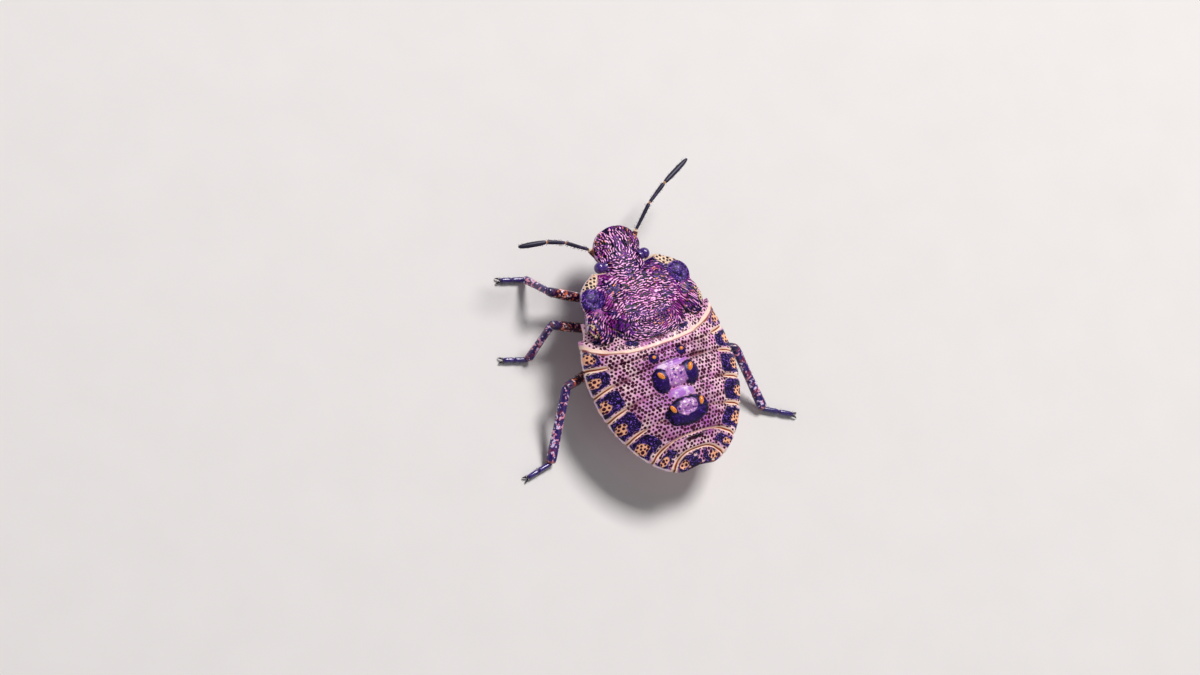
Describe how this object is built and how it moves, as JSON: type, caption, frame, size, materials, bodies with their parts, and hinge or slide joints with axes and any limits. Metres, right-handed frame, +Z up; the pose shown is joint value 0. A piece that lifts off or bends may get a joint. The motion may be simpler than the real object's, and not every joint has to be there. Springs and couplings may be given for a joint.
{
  "type": "shield bug nymph",
  "caption": "Life-size still model of a young shield bug on its feet, with a dotted, banded oval back, rugged purple thorax and head, raised gland plates and jointed legs and feelers.",
  "frame": {"origin": "on the floor under the middle of the whole model, legs and feelers included", "axes": "+Z up, head toward -Y, tail toward +Y, the insect's left side toward +X"},
  "size_m": [0.0097, 0.0091, 0.0024],
  "materials": {
    "plate": "pitted purple cuticle with a metallic magenta and indigo sheen",
    "back": "pale pinkish cream cuticle with small dark pits",
    "eye": "dark purple faceted eye, glossy",
    "leg": "dark purple brown cuticle mottled with cream and pink",
    "foot": "indigo cuticle with fine hairs",
    "antenna": "near-black indigo cuticle, pale at the joints"
  },
  "bodies": {
    "root": {"head": "plate", "prothorax": "plate", "mesothorax": "plate", "metathorax": "back", "abdomen": "back", "beak": "antenna", "eye_left": "eye", "eye_right": "eye", "antenna_left_1": "antenna", "antenna_left_2": "antenna", "antenna_left_3": "antenna", "antenna_left_4": "antenna", "antenna_right_1": "antenna", "antenna_right_2": "antenna", "antenna_right_3": "antenna", "antenna_right_4": "antenna", "femur_fore_left": "leg", "tibia_fore_left": "leg", "tarsus_fore_left": "foot", "femur_fore_right": "leg", "tibia_fore_right": "leg", "tarsus_fore_right": "foot", "femur_mid_left": "leg", "tibia_mid_left": "leg", "tarsus_mid_left": "foot", "femur_mid_right": "leg", "tibia_mid_right": "leg", "tarsus_mid_right": "foot", "femur_hind_left": "leg", "tibia_hind_left": "leg", "tarsus_hind_left": "foot", "femur_hind_right": "leg", "tibia_hind_right": "leg", "tarsus_hind_right": "foot"}
  },
  "joints": []
}
